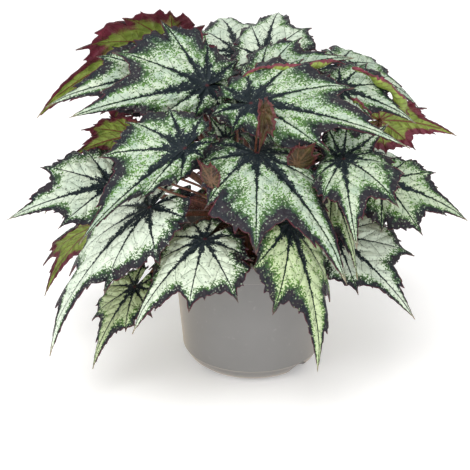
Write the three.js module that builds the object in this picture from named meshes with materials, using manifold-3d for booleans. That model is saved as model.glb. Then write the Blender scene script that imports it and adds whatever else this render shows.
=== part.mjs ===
// A potted rex begonia: a nursery pot of potting soil, a short rhizome with its red petioles, and one
// long-pointed, toothed, drooping leaf blade at the end of each petiole.
//
// Millimetres, +Z up. The origin is the centre of the pot's foot, on the surface the pot stands on.
// The plant's front, as it is usually shown, faces -Y.
import * as THREE from "three";
import { mergeVertices } from "three/addons/utils/BufferGeometryUtils.js";
import Module from "manifold-3d";

const wasm = await Module();
wasm.setup();

const DEG = Math.PI / 180;
const GAP = 0.3;

// driving dimensions: the pot
const POT_HEIGHT = 98;
const RIM_RADIUS = 60;
const RIM_HEIGHT = 14;
const WALL_RADIUS_TOP = 55.8;
const WALL_RADIUS_FOOT = 48.8;
const WALL = 1.6;
const FOOT_ROUNDING = 13;
const CHANNEL_HEIGHT = 5;
const MIDDLE_RADIUS = 22;
const FLOOR = 3;
const NOTCHES = 4;
const NOTCH_WIDTH = 20;
const NOTCH_HEIGHT = 5;
const DRAIN_RADIUS = 3;
const POT_SIDES = 40;

// driving dimensions: the soil and the rhizome
const SOIL_TOP = 86;
const SOIL_SWELL = 1.6;
const SOIL_SIDES = 24;
const RHIZOME_RADIUS = 15;
const RHIZOME_DEPTH = 12;
const RHIZOME_TOP = 106;

// driving dimensions: the leaves
const BLADE_THICKNESS = 0.8;
const PETIOLE_RADIUS = 2.3;
const PETIOLE_TIP_RADIUS = 1.7;
const PETIOLE_SIDES = 5;
const PETIOLE_STEPS = 6;
const SINUS = 168;
const MIDDLE_DISC = 0.25;

// A blade seen flat: each row is one point of its edge, as the angle off the main rib in degrees,
// the reach as a share of the blade's length, and the half angle of the point.
const MAIN_POINT = [[0, 1, 13.5], [0, 0.88, 19], [0, 0.65, 48]];
const MAIN_TEETH = [[13, 0.6, 30], [-15, 0.56, 30], [7, 0.74, 26]];
const SIDE_POINTS = [
  [34, 0.68], [-31, 0.58],
  [72, 0.55], [-67, 0.46],
  [111, 0.41], [-105, 0.37],
  [150, 0.35], [-146, 0.32],
];

// The blades, one in each row, leaf_01 first: the place of its petiole joint, the place of its long
// point, then three pairs and a sign. The pairs are the droop between those two places with the roll
// about the line between them, the droops of its wide and its narrow side, and the two sides' widths
// as shares of the plan's. The sign is the hand: which way the wide side lies.
const LEAF_ROWS = [
  [[-31, -2, 204], [-123, -22, 187], [35, -48], [20, 70], [1.15, 0.6], -1],
  [[-56, 60, 213], [-152, 30, 167], [60, 70], [20, 20], [1, 0.9], -1],
  [[-62, 10, 207], [-141, 7, 188], [35, -40], [40, 40], [1, 0.8], -1],
  [[-44, -58, 181], [-113, -84, 128], [40, -40], [30, 74], [1, 0.35], -1],
  [[-98, 3, 130], [-172, -4, 107], [40, -45], [40, 40], [1, 0.8], -1],
  [[-83, 35, 155], [-131, 30, 138], [40, 70], [30, 30], [1, 0.8], 1],
  [[-68, -54, 138], [-135, -92, 46], [45, 0], [50, 60], [0.92, 0.6], -1],
  [[-110, 22, 92], [-152, 16, 39], [40, 50], [40, 40], [1, 1], 1],
  [[-80, -48, 77], [-110, -75, 31], [30, 0], [40, 40], [1, 1], -1],
  [[-32, -62, 119], [-80, -95, 68], [45, -15], [35, 50], [1.1, 0.9], 1],
  [[2, -40, 171], [59, -112, 109], [45, 5], [45, 45], [1, 0.9], -1],
  [[-2, -32, 202], [101, -60, 182], [35, 35], [25, 70], [0.9, 0.5], 1],
  [[8, 30, 212], [22, 105, 224], [60, 0], [40, 40], [0.95, 0.85], -1],
  [[-10, 85, 199], [-28, 157, 204], [60, 0], [40, 40], [1, 1], -1],
  [[5, 5, 205], [68, 18, 218], [45, 35], [40, 40], [1, 0.8], 1],
  [[62, 66, 196], [121, 72, 161], [44, 22], [41, 42], [1, 1], 1],
  [[88, 25, 170], [143, 21, 158], [45, -70], [30, 30], [1, 1], 1],
  [[58, -51, 171], [63, -116, 138], [50, 15], [45, 45], [1, 0.9], 1],
  [[88, -18, 142], [147, -25, 117], [45, 45], [45, 45], [1, 1], -1],
  [[55, -38, 110], [109, -70, 65], [40, 30], [45, 45], [1, 0.9], 1],
  [[23, -76, 137], [42, -102, 40], [40, 0], [80, 80], [0.7, 0.7], 1],
  [[51, -43, 148], [67, -82, 98], [40, 0], [80, 80], [0.56, 0.56], -1],
  [[58, 4, 200], [110, -4, 178], [40, 40], [40, 40], [1, 0.9], 1],
  [[60, 35, 189], [108, 33, 165], [40, -70], [30, 30], [1, 1], 1],
  [[-6, -35, 128], [0, -63, 114], [40, 0], [40, 40], [1, 1], 1],
  [[26, 60, 160], [77, 133, 114], [50, 0], [50, 50], [1, 0.9], 1],
  [[-32, 80, 146], [-73, 163, 100], [50, 0], [50, 50], [1, 0.9], -1],
  [[70, 45, 140], [138, 75, 90], [50, 0], [50, 50], [1, 0.9], -1],
  [[41, 74, 129], [76, 149, 72], [50, 0], [50, 50], [1, 0.9], 1],
  [[-12, 76, 129], [-18, 146, 107], [50, 0], [50, 50], [0.52, 0.52], 1],
  [[-65, 66, 134], [-115, 132, 77], [50, 0], [50, 50], [1, 0.9], -1],
  [[-87, 45, 123], [-155, 65, 78], [50, 0], [50, 50], [1, 0.9], 1],
  [[-4, 74, 106], [-12, 140, 38], [45, 0], [50, 50], [0.9, 0.9], 1],
];

// How far some petioles bow out of their way, around a neighbour or over the rim, by leaf number.
const BOWS = {
  4: [-8, 4, 0],
  8: [-20, 0, 30],
  9: [-14, -8, 38],
  12: [0, 70, 0],
  14: [2, 0, 0],
  16: [0, 0, 45],
  18: [46, 34, 0],
  21: [12, 0, 0],
};

const LEAVES = LEAF_ROWS.map(([joint, point, [droop, roll], sides, width, hand], i) => ({
  seed: i + 1,
  joint,
  point,
  droop,
  roll,
  sides,
  width,
  hand,
  bow: BOWS[i + 1] ?? [0, 0, 0],
}));

const COLOURS = {
  pot: { color: 0x8d8c8a, roughness: 0.55, metalness: 0 },
  soil: { color: 0x2e241d, roughness: 0.95, metalness: 0 },
  petiole: { color: 0x6e3a2c, roughness: 0.6, metalness: 0 },
  blade: { color: 0xb9cdb0, roughness: 0.5, metalness: 0 },
};

function part(name, geometry, look) {
  const material = new THREE.MeshStandardMaterial(COLOURS[look]);
  material.name = look;
  const mesh = new THREE.Mesh(geometry, material);
  mesh.name = name;
  return mesh;
}

function noise(seed, step) {
  const wave = Math.sin(seed * 127.1 + step * 311.7) * 43758.5453;
  return wave - Math.floor(wave);
}

// closed solids from three's geometry, joined and cut
function weld(geometry) {
  const bare = geometry.clone();
  bare.deleteAttribute("normal");
  bare.deleteAttribute("uv");
  return mergeVertices(bare, 1e-4);
}

function toSolid(geometry) {
  const welded = weld(geometry);
  const position = welded.getAttribute("position");
  return new wasm.Manifold(new wasm.Mesh({
    numProp: 3,
    vertProperties: new Float32Array(position.array),
    triVerts: new Uint32Array(welded.index.array),
  }));
}

function toGeometry(solid) {
  const mesh = solid.getMesh();
  const geometry = new THREE.BufferGeometry();
  const corners = [];
  for (let i = 0; i < mesh.vertProperties.length; i += mesh.numProp) {
    corners.push(mesh.vertProperties[i], mesh.vertProperties[i + 1], mesh.vertProperties[i + 2]);
  }
  geometry.setAttribute("position", new THREE.Float32BufferAttribute(corners, 3));
  geometry.setIndex(Array.from(mesh.triVerts));
  return geometry;
}

function turned(profile, sides) {
  const points = profile.map(([radius, z]) => new THREE.Vector2(radius, z));
  const geometry = new THREE.LatheGeometry(points, sides);
  geometry.rotateX(Math.PI / 2);
  return geometry;
}

function arc(cx, cz, radius, from, to, steps) {
  const points = [];
  for (let i = 0; i <= steps; i += 1) {
    const angle = (from + ((to - from) * i) / steps) * DEG;
    points.push([cx + radius * Math.cos(angle), cz + radius * Math.sin(angle)]);
  }
  return points;
}

// the pot: one turned shell that stands on the middle of its base and on a notched foot ring, with
// the drain holes in the channel between the two
function wallRadius(z) {
  const share = z / (POT_HEIGHT - RIM_HEIGHT);
  return WALL_RADIUS_FOOT + (WALL_RADIUS_TOP - WALL_RADIUS_FOOT) * share;
}

function pot() {
  const rimFoot = POT_HEIGHT - RIM_HEIGHT;
  const inside = CHANNEL_HEIGHT + FLOOR;
  const footOuter = wallRadius(0) - FOOT_ROUNDING;
  const profile = [
    [0, 0],
    [MIDDLE_RADIUS, 0],
    [MIDDLE_RADIUS + 1.4, CHANNEL_HEIGHT],
    [footOuter - 4, CHANNEL_HEIGHT],
    [footOuter - 3.4, 0],
    ...arc(footOuter, FOOT_ROUNDING, FOOT_ROUNDING, -90, 0, 5),
    [WALL_RADIUS_TOP, rimFoot],
    [RIM_RADIUS - 0.9, rimFoot],
    [RIM_RADIUS - 0.6, rimFoot + 0.8],
    [RIM_RADIUS, POT_HEIGHT - 1],
    [RIM_RADIUS - 0.8, POT_HEIGHT],
    [RIM_RADIUS - 2, POT_HEIGHT],
    [WALL_RADIUS_TOP - 0.2, rimFoot + 1.6],
    [WALL_RADIUS_TOP - WALL, rimFoot - 1],
    [wallRadius(inside + 8) - WALL, inside + 8],
    [wallRadius(0) - 6, inside + 1.6],
    [footOuter, inside],
    [MIDDLE_RADIUS + 1, inside],
    [MIDDLE_RADIUS - 1, FLOOR],
    [0, FLOOR],
  ];
  let body = toSolid(turned(profile, POT_SIDES));
  for (let i = 0; i < NOTCHES; i += 1) {
    const angle = (45 + (360 * i) / NOTCHES) * DEG;
    const notch = new THREE.CylinderGeometry(NOTCH_WIDTH / 2, NOTCH_WIDTH / 2, 16, 12);
    notch.scale(1, 1, NOTCH_HEIGHT / (NOTCH_WIDTH / 2));
    notch.rotateZ(Math.PI / 2);
    notch.translate(footOuter + 3.5, 0, 0);
    notch.rotateZ(angle);
    body = body.subtract(toSolid(notch));
    const drain = new THREE.CylinderGeometry(DRAIN_RADIUS, DRAIN_RADIUS, 8, 12);
    drain.rotateX(Math.PI / 2);
    const out = (MIDDLE_RADIUS + footOuter - 2.6) / 2;
    drain.translate(out * Math.cos(angle), out * Math.sin(angle), CHANNEL_HEIGHT + FLOOR / 2);
    body = body.subtract(toSolid(drain));
  }
  return toGeometry(body);
}

// the soil: it fills the pot to below the rim, with one plain hole for the rhizome
function soilHeight(radius, angle) {
  const swell = Math.cos(3 * angle + 1) + Math.cos(5 * angle + radius / 9);
  return SOIL_TOP + SOIL_SWELL * 0.5 * swell * (radius / 50) - 0.0012 * radius * radius;
}

function soil() {
  const bottom = CHANNEL_HEIGHT + FLOOR + GAP;
  const rimFoot = POT_HEIGHT - RIM_HEIGHT;
  const wallRun = (rimFoot - 1 - (CHANNEL_HEIGHT + FLOOR + 5));
  const profile = [
    [0, FLOOR + GAP],
    [MIDDLE_RADIUS - 1.4, FLOOR + GAP],
    [MIDDLE_RADIUS + 0.8, bottom],
    [wallRadius(0) - FOOT_ROUNDING - GAP, bottom],
    [wallRadius(0) - 6 - 2 * GAP, bottom + 2],
    [wallRadius(bottom + 8) - WALL - 2 * GAP, bottom + 8.6],
    [WALL_RADIUS_TOP - WALL - 2 * GAP - (WALL_RADIUS_TOP - WALL_RADIUS_FOOT) * 6 / wallRun, rimFoot - 5],
    [WALL_RADIUS_TOP * 0.66, SOIL_TOP],
    [WALL_RADIUS_TOP * 0.38, SOIL_TOP],
    [0, SOIL_TOP],
  ];
  const geometry = turned(profile, SOIL_SIDES);
  const position = geometry.getAttribute("position");
  for (let i = 0; i < position.count; i += 1) {
    const x = position.getX(i);
    const y = position.getY(i);
    const z = position.getZ(i);
    if (z > rimFoot - 6) {
      const radius = Math.hypot(x, y);
      const step = (2 * Math.PI) / SOIL_SIDES;
      const angle = Math.round(Math.atan2(y, x) / step) * step;
      position.setZ(i, soilHeight(radius, angle) - (SOIL_TOP - z) * 0.3);
    }
  }
  const hole = new THREE.CylinderGeometry(RHIZOME_RADIUS + GAP, RHIZOME_RADIUS + GAP, 40, 20);
  hole.rotateX(Math.PI / 2);
  hole.translate(0, 0, SOIL_TOP - RHIZOME_DEPTH - GAP + 20);
  return toGeometry(toSolid(geometry).subtract(toSolid(hole)));
}

// one blade: its outline, its bend in space, its mesh
function edgePoints(leaf) {
  const points = [...MAIN_POINT, ...MAIN_TEETH];
  SIDE_POINTS.forEach(([angle, reach], index) => {
    const turn = angle + 7 * (noise(leaf.seed, index) - 0.5);
    const length = reach * (0.9 + 0.2 * noise(leaf.seed, index + 20));
    const out = Math.sign(angle);
    points.push([turn, length, 20], [turn, length * 0.88, 57]);
    points.push([turn + out * 12, length * 0.83, 32], [turn - out * 13, length * 0.8, 32]);
  });
  return points;
}

function reachAt(points, angle) {
  let reach = MIDDLE_DISC;
  points.forEach(([at, length, half]) => {
    const off = Math.abs(angle - at);
    if (off + half < 90) {
      const sine = Math.sin(half * DEG) / Math.sin((half + off) * DEG);
      reach = Math.max(reach, length * sine);
    }
  });
  return reach;
}

function outline(leaf) {
  const points = edgePoints(leaf);
  const fine = [];
  for (let angle = -SINUS; angle <= SINUS; angle += 0.5) {
    const reach = reachAt(points, angle);
    fine.push({ angle, reach, x: reach * Math.cos(angle * DEG), y: reach * Math.sin(angle * DEG) });
  }
  return fine;
}

// Keeps only the corners that the outline's shape needs.
function corners(run, tolerance) {
  const first = run[0];
  const last = run[run.length - 1];
  const length = Math.hypot(last.x - first.x, last.y - first.y) || 1;
  let worst = 0;
  let split = 0;
  for (let i = 1; i < run.length - 1; i += 1) {
    const dx = run[i].x - first.x;
    const dy = run[i].y - first.y;
    const off = Math.abs(dx * (last.y - first.y) - dy * (last.x - first.x)) / length;
    if (off > worst) {
      worst = off;
      split = i;
    }
  }
  if (worst <= tolerance) {
    return [first, last];
  }
  const head = corners(run.slice(0, split + 1), tolerance);
  return [...head.slice(0, -1), ...corners(run.slice(split), tolerance)];
}

function placement(leaf) {
  const joint = new THREE.Vector3(...leaf.joint);
  const chord = new THREE.Vector3(...leaf.point).sub(joint);
  const span = chord.length();
  const along = chord.clone().normalize();
  const up = new THREE.Vector3(0, 0, 1);
  up.addScaledVector(along, -up.dot(along)).normalize();
  up.applyAxisAngle(along, leaf.roll * DEG);
  const half = (leaf.droop / 2) * DEG;
  const rib = along.clone().multiplyScalar(Math.cos(half)).addScaledVector(up, Math.sin(half));
  const normal = up.clone().multiplyScalar(Math.cos(half)).addScaledVector(along, -Math.sin(half));
  const across = normal.clone().cross(rib);
  const length = (span * half) / Math.sin(half);
  return { joint, rib, normal, across, length };
}

function bladePoint(leaf, frame, angle, reach) {
  const cosine = Math.cos(angle * DEG);
  const sine = Math.sin(angle * DEG);
  const ahead = Math.max(cosine, 0);
  const behind = Math.max(-cosine, 0);
  const side = sine > 0 ? leaf.sides[0] : leaf.sides[1];
  const width = sine > 0 ? leaf.width[0] : leaf.width[1];
  const droop = leaf.droop * ahead * ahead + side * 1.4 * sine * sine + 25 * behind * behind;
  const bend = (droop * DEG) / frame.length;
  const run = reach * frame.length;
  const out = Math.sin(bend * run) / bend;
  const wave = 0.05 * frame.length * reach * reach * Math.sin((angle * 4 + leaf.seed * 70) * DEG);
  const drop = (1 - Math.cos(bend * run)) / bend - wave;
  return frame.joint.clone()
    .addScaledVector(frame.rib, out * cosine)
    .addScaledVector(frame.across, out * sine * width * leaf.hand)
    .addScaledVector(frame.normal, -drop);
}

function bladeNormal(leaf, frame, angle, reach) {
  const step = 0.02;
  const flat = { x: reach * Math.cos(angle * DEG), y: reach * Math.sin(angle * DEG) };
  const at = (x, y) => bladePoint(leaf, frame, Math.atan2(y, x) / DEG, Math.hypot(x, y));
  const alongRib = at(flat.x + step, flat.y).sub(at(flat.x - step, flat.y));
  const alongSide = at(flat.x, flat.y + step).sub(at(flat.x, flat.y - step));
  return alongRib.cross(alongSide).multiplyScalar(leaf.hand).normalize();
}

// The flat plan of a blade: the outline cut into half lobes between its points and its valleys.
function plan(leaf) {
  const edge = corners(outline(leaf), 0.009);
  const stops = [0];
  const ribs = [0, ...SIDE_POINTS.map(([angle]) => angle)].sort((a, b) => a - b);
  ribs.forEach((angle, index) => {
    let best = -1;
    edge.forEach((corner, i) => {
      if (Math.abs(corner.angle - angle) < 9 && (best < 0 || corner.reach > edge[best].reach)) {
        best = i;
      }
    });
    const next = ribs[index + 1] ?? SINUS + 40;
    let low = best;
    edge.forEach((corner, i) => {
      if (i > best && corner.angle < next - 6 && corner.reach < edge[low].reach) {
        low = i;
      }
    });
    stops.push(best);
    if (low > best && index < ribs.length - 1) {
      stops.push(low);
    }
  });
  stops.push(edge.length - 1);
  return { edge, stops: [...new Set(stops)].sort((a, b) => a - b) };
}

function blade(leaf) {
  const frame = placement(leaf);
  const { edge, stops } = plan(leaf);
  const flat = [{ angle: 0, reach: 0 }, ...edge];
  const spokes = stops.map((stop) => {
    const corner = edge[stop];
    const count = Math.max(1, Math.floor(corner.reach / 0.24));
    const run = [0];
    for (let i = 1; i <= count; i += 1) {
      const reach = (corner.reach * i) / (count + 1);
      run.push(flat.length);
      flat.push({ angle: corner.angle, reach });
    }
    run.push(stop + 1);
    return run;
  });
  const faces = [];
  for (let s = 0; s < stops.length - 1; s += 1) {
    const ring = [...spokes[s]];
    for (let i = stops[s] + 1; i < stops[s + 1]; i += 1) {
      ring.push(i + 1);
    }
    ring.push(...spokes[s + 1].slice(1).reverse());
    const shape = ring.map((k) => new THREE.Vector2(
      flat[k].reach * Math.cos(flat[k].angle * DEG),
      flat[k].reach * Math.sin(flat[k].angle * DEG),
    ));
    THREE.ShapeUtils.triangulateShape(shape, []).forEach((face) => {
      faces.push(face.map((k) => ring[k]));
    });
  }
  const border = [...spokes[0].slice(0, -1)];
  edge.forEach((corner, i) => border.push(i + 1));
  border.push(...spokes[spokes.length - 1].slice(1, -1).reverse());

  const places = [];
  [0.5, -0.5].forEach((side) => {
    flat.forEach(({ angle, reach }) => {
      const point = bladePoint(leaf, frame, angle, reach);
      point.addScaledVector(bladeNormal(leaf, frame, angle, reach), side * BLADE_THICKNESS);
      places.push(point.x, point.y, point.z);
    });
  });
  const under = flat.length;
  const index = [];
  faces.forEach(([a, b, c]) => {
    index.push(a, b, c, under + a, under + c, under + b);
  });
  border.forEach((a, i) => {
    const b = border[(i + 1) % border.length];
    index.push(a, under + a, b, b, under + a, under + b);
  });
  return facingOut(places, index);
}

function facingOut(places, index) {
  const geometry = new THREE.BufferGeometry();
  geometry.setAttribute("position", new THREE.Float32BufferAttribute(places, 3));
  let volume = 0;
  const at = (k) => new THREE.Vector3(places[3 * k], places[3 * k + 1], places[3 * k + 2]);
  for (let i = 0; i < index.length; i += 3) {
    volume += at(index[i]).dot(at(index[i + 1]).cross(at(index[i + 2])));
  }
  geometry.setIndex(volume > 0 ? index : index.slice().reverse());
  return geometry;
}

// the crown: the rhizome and the petioles that grow from it
function petiole(leaf) {
  const bow = leaf.bow;
  const frame = placement(leaf);
  const heading = Math.atan2(frame.joint.y, frame.joint.x);
  const root = new THREE.Vector3(8 * Math.cos(heading), 8 * Math.sin(heading), RHIZOME_TOP - 10);
  const end = frame.joint.clone().addScaledVector(frame.normal, -(BLADE_THICKNESS / 2 + 0.65));
  const reach = Math.hypot(end.x, end.y);
  const rise = Math.max(0, end.z - root.z) * 0.45 + 16 + bow[2];
  const lower = new THREE.Vector3(
    reach * 0.3 * Math.cos(heading) + bow[0],
    reach * 0.3 * Math.sin(heading) + bow[1],
    root.z + rise,
  );
  const upper = end.clone().addScaledVector(frame.normal, -0.18 * end.distanceTo(root));
  const route = new THREE.CubicBezierCurve3(root, lower, upper, end);
  const geometry = tube(route, frame.normal);
  return geometry;
}

function tube(route, lastDirection) {
  const places = [];
  const index = [];
  let side = new THREE.Vector3(0, 1, 0.01);
  for (let i = 0; i <= PETIOLE_STEPS; i += 1) {
    const share = i / PETIOLE_STEPS;
    const at = route.getPoint(share);
    const along = i === PETIOLE_STEPS ? lastDirection.clone() : route.getTangent(share);
    side = side.clone().addScaledVector(along, -side.dot(along)).normalize();
    const other = along.clone().cross(side);
    const radius = PETIOLE_RADIUS + (PETIOLE_TIP_RADIUS - PETIOLE_RADIUS) * share;
    for (let k = 0; k < PETIOLE_SIDES; k += 1) {
      const turn = (2 * Math.PI * k) / PETIOLE_SIDES;
      const point = at.clone()
        .addScaledVector(side, radius * Math.cos(turn))
        .addScaledVector(other, radius * Math.sin(turn));
      places.push(point.x, point.y, point.z);
    }
  }
  for (let i = 0; i < PETIOLE_STEPS; i += 1) {
    for (let k = 0; k < PETIOLE_SIDES; k += 1) {
      const a = i * PETIOLE_SIDES + k;
      const b = i * PETIOLE_SIDES + ((k + 1) % PETIOLE_SIDES);
      index.push(a, b, a + PETIOLE_SIDES, b, b + PETIOLE_SIDES, a + PETIOLE_SIDES);
    }
  }
  const last = PETIOLE_STEPS * PETIOLE_SIDES;
  for (let k = 1; k < PETIOLE_SIDES - 1; k += 1) {
    index.push(0, k + 1, k, last, last + k, last + k + 1);
  }
  return facingOut(places, index);
}

function crown() {
  const foot = SOIL_TOP - RHIZOME_DEPTH;
  const profile = [
    [0, foot],
    [RHIZOME_RADIUS - 4, foot],
    [RHIZOME_RADIUS, foot + 3],
    [RHIZOME_RADIUS, SOIL_TOP + 3],
    [RHIZOME_RADIUS + 2, SOIL_TOP + 8],
    [RHIZOME_RADIUS - 1, RHIZOME_TOP - 6],
    [RHIZOME_RADIUS - 8, RHIZOME_TOP],
    [0, RHIZOME_TOP],
  ];
  let body = toSolid(turned(profile, 14));
  LEAVES.forEach((leaf) => {
    body = body.add(toSolid(petiole(leaf)));
  });
  return toGeometry(body);
}

const object = new THREE.Group();
object.name = "potted_rex_begonia";
object.add(part("pot", pot(), "pot"));
object.add(part("soil", soil(), "soil"));
object.add(part("crown", crown(), "petiole"));
LEAVES.forEach((leaf, i) => {
  object.add(part(`leaf_${String(i + 1).padStart(2, "0")}`, blade(leaf), "blade"));
});

export default object;
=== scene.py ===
# %% [markdown]
# A rex begonia in a nursery pot. The solids of the CAD model come in first and fix every place and size.
# Each blade, the crown of petioles, the soil and the pot are then made again with finer surfaces, in the
# same places, and given their finish. Blender works in metres; the plan of the plant is in millimetres,
# so one factor turns the one into the other.

# %% load the frame
import bpy
import bmesh
import math
import numpy as np
from mathutils import Matrix, Vector


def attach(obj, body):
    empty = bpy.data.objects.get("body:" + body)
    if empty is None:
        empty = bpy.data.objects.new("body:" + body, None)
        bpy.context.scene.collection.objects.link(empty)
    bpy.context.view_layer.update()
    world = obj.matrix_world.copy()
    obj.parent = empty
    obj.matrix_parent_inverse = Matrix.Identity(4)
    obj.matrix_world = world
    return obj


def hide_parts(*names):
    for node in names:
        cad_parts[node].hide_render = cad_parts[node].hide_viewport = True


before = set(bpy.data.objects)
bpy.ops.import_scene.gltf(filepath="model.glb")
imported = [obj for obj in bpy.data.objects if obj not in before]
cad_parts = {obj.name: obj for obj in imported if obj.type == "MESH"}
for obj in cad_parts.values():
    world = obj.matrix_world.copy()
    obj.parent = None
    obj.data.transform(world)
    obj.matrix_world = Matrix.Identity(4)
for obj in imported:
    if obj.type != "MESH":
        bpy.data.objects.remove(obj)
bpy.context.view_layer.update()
MM = 0.001

# %% [markdown]
# Every blade is told in one row: where its petiole joins it, where its long point ends, how far it droops
# between the two and how it is rolled about that line, how its two sides droop, how wide they are, and
# which way the wide side lies. The same rows made the solids. What the rows can't tell is each leaf's
# marking: an old leaf is silver to the margin, a young one is greener and paler, so two more numbers per
# leaf say how much green shows through the silver and how young the leaf is.

# %% the leaves, one row each
LEAF_ROWS = [
    ((-31, -2, 204), (-123, -22, 187), (35, -48), (20, 70), (1.15, 0.6), -1),
    ((-56, 60, 213), (-152, 30, 167), (60, 70), (20, 20), (1, 0.9), -1),
    ((-62, 10, 207), (-141, 7, 188), (35, -40), (40, 40), (1, 0.8), -1),
    ((-44, -58, 181), (-113, -84, 128), (40, -40), (30, 74), (1, 0.35), -1),
    ((-98, 3, 130), (-172, -4, 107), (40, -45), (40, 40), (1, 0.8), -1),
    ((-83, 35, 155), (-131, 30, 138), (40, 70), (30, 30), (1, 0.8), 1),
    ((-68, -54, 138), (-135, -92, 46), (45, 0), (50, 60), (0.92, 0.6), -1),
    ((-110, 22, 92), (-152, 16, 39), (40, 50), (40, 40), (1, 1), 1),
    ((-80, -48, 77), (-110, -75, 31), (30, 0), (40, 40), (1, 1), -1),
    ((-32, -62, 119), (-80, -95, 68), (45, -15), (35, 50), (1.1, 0.9), 1),
    ((2, -40, 171), (59, -112, 109), (45, 5), (45, 45), (1, 0.9), -1),
    ((-2, -32, 202), (101, -60, 182), (35, 35), (25, 70), (0.9, 0.5), 1),
    ((8, 30, 212), (22, 105, 224), (60, 0), (40, 40), (0.95, 0.85), -1),
    ((-10, 85, 199), (-28, 157, 204), (60, 0), (40, 40), (1, 1), -1),
    ((5, 5, 205), (68, 18, 218), (45, 35), (40, 40), (1, 0.8), 1),
    ((62, 66, 196), (121, 72, 161), (44, 22), (41, 42), (1, 1), 1),
    ((88, 25, 170), (143, 21, 158), (45, -70), (30, 30), (1, 1), 1),
    ((58, -51, 171), (63, -116, 138), (50, 15), (45, 45), (1, 0.9), 1),
    ((88, -18, 142), (147, -25, 117), (45, 45), (45, 45), (1, 1), -1),
    ((55, -38, 110), (109, -70, 65), (40, 30), (45, 45), (1, 0.9), 1),
    ((23, -76, 137), (42, -102, 40), (40, 0), (80, 80), (0.7, 0.7), 1),
    ((51, -43, 148), (67, -82, 98), (40, 0), (80, 80), (0.56, 0.56), -1),
    ((58, 4, 200), (110, -4, 178), (40, 40), (40, 40), (1, 0.9), 1),
    ((60, 35, 189), (108, 33, 165), (40, -70), (30, 30), (1, 1), 1),
    ((-6, -35, 128), (0, -63, 114), (40, 0), (40, 40), (1, 1), 1),
    ((26, 60, 160), (77, 133, 114), (50, 0), (50, 50), (1, 0.9), 1),
    ((-32, 80, 146), (-73, 163, 100), (50, 0), (50, 50), (1, 0.9), -1),
    ((70, 45, 140), (138, 75, 90), (50, 0), (50, 50), (1, 0.9), -1),
    ((41, 74, 129), (76, 149, 72), (50, 0), (50, 50), (1, 0.9), 1),
    ((-12, 76, 129), (-18, 146, 107), (50, 0), (50, 50), (0.52, 0.52), 1),
    ((-65, 66, 134), (-115, 132, 77), (50, 0), (50, 50), (1, 0.9), -1),
    ((-87, 45, 123), (-155, 65, 78), (50, 0), (50, 50), (1, 0.9), 1),
    ((-4, 74, 106), (-12, 140, 38), (45, 0), (50, 50), (0.9, 0.9), 1),
]
BOWS = {
    4: (-8, 4, 0),
    8: (-20, 0, 30),
    9: (-14, -8, 38),
    12: (0, 70, 0),
    14: (2, 0, 0),
    16: (0, 0, 45),
    18: (46, 34, 0),
    21: (12, 0, 0),
}
USUAL_MARKING = (0.1, 0.0)
MARKINGS = {
    1: (0.33, 0.0), 2: (0.26, 0.0), 3: (0.3, 0.0), 4: (0.42, 0.0), 5: (0.1, 0.0), 6: (0.16, 0.0),
    7: (0.0, 0.0), 8: (0.04, 0.1), 9: (0.12, 0.7), 10: (0.0, 0.1), 11: (0.35, 0.0), 12: (0.44, 0.0),
    15: (0.3, 0.0), 16: (0.24, 0.0), 18: (0.32, 0.1), 19: (0.28, 0.2), 20: (0.04, 0.0), 21: (0.3, 0.6),
    22: (0.3, 0.5), 23: (0.32, 0.0), 24: (0.24, 0.0), 25: (0.4, 0.8),
}


def leaf_of(seed, row, green, young):
    joint, point, (droop, roll), sides, width, hand = row
    return {
        "seed": seed, "joint": Vector(joint), "point": Vector(point), "droop": droop, "roll": roll,
        "sides": sides, "width": width, "hand": hand, "green": green, "young": young,
    }


LEAVES = [leaf_of(seed, row, *MARKINGS.get(seed, USUAL_MARKING)) for seed, row in enumerate(LEAF_ROWS, 1)]
print("leaves", len(LEAVES))

# %% [markdown]
# A begonia leaf's plan is a star of points round the joint. Each point of the edge is written as an angle
# off the main rib, a reach and a half angle; along any direction the edge lies at the furthest reach that
# a point gives there. The main veins run from the joint to the points, so the same list gives the veins.

# %% the plan of a blade
SINUS = 168
MIDDLE_DISC = 0.25
MAIN_POINT = [(0, 1, 13.5), (0, 0.88, 19), (0, 0.65, 48)]
MAIN_TEETH = [(13, 0.6, 30), (-15, 0.56, 30), (7, 0.74, 26)]
SIDE_POINTS = [
    (34, 0.68), (-31, 0.58),
    (72, 0.55), (-67, 0.46),
    (111, 0.41), (-105, 0.37),
    (150, 0.35), (-146, 0.32),
]


def noise(seed, step):
    """A number from 0 to 1 that looks random and is the same in every run."""
    wave = math.sin(seed * 127.1 + step * 311.7) * 43758.5453
    return wave - math.floor(wave)


def edge_points(seed):
    """The points of the edge, and the main veins as (angle, reach)."""
    points = MAIN_POINT + MAIN_TEETH
    veins = [(0.0, 1.0)]
    for index, (angle, reach) in enumerate(SIDE_POINTS):
        turn = angle + 7 * (noise(seed, index) - 0.5)
        length = reach * (0.9 + 0.2 * noise(seed, index + 20))
        out = math.copysign(1, angle)
        veins.append((turn, length))
        points = points + [
            (turn, length, 20), (turn, length * 0.88, 57),
            (turn + out * 12, length * 0.83, 32), (turn - out * 13, length * 0.8, 32),
        ]
    return points, veins


def reach_at(points, angles):
    """How far the smooth edge reaches along each angle, as a share of the main rib."""
    reach = np.full(len(angles), MIDDLE_DISC)
    for at, length, half in points:
        off = np.abs(angles - at)
        sine = np.sin(np.radians(half)) / np.sin(np.radians(half + np.minimum(off, 89 - half)))
        reach = np.maximum(reach, np.where(off + half < 89, length * sine, 0))
    return reach


demo_points, demo_veins = edge_points(1)
print("edge points", len(demo_points), "main veins", len(demo_veins))

# %% [markdown]
# A flat plan becomes a hanging leaf when every line from the joint is bent into an arc. The main rib
# carries the leaf's own droop, the sides theirs, and a slow wave runs round the edge. Three directions at
# the joint set it up: along the rib, across the blade and along its normal.

# %% the bend of a blade
SIDE_DROOP, BACK_DROOP = 1.4, 25
WAVE_HEIGHT, WAVES = 0.05, 4


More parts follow.
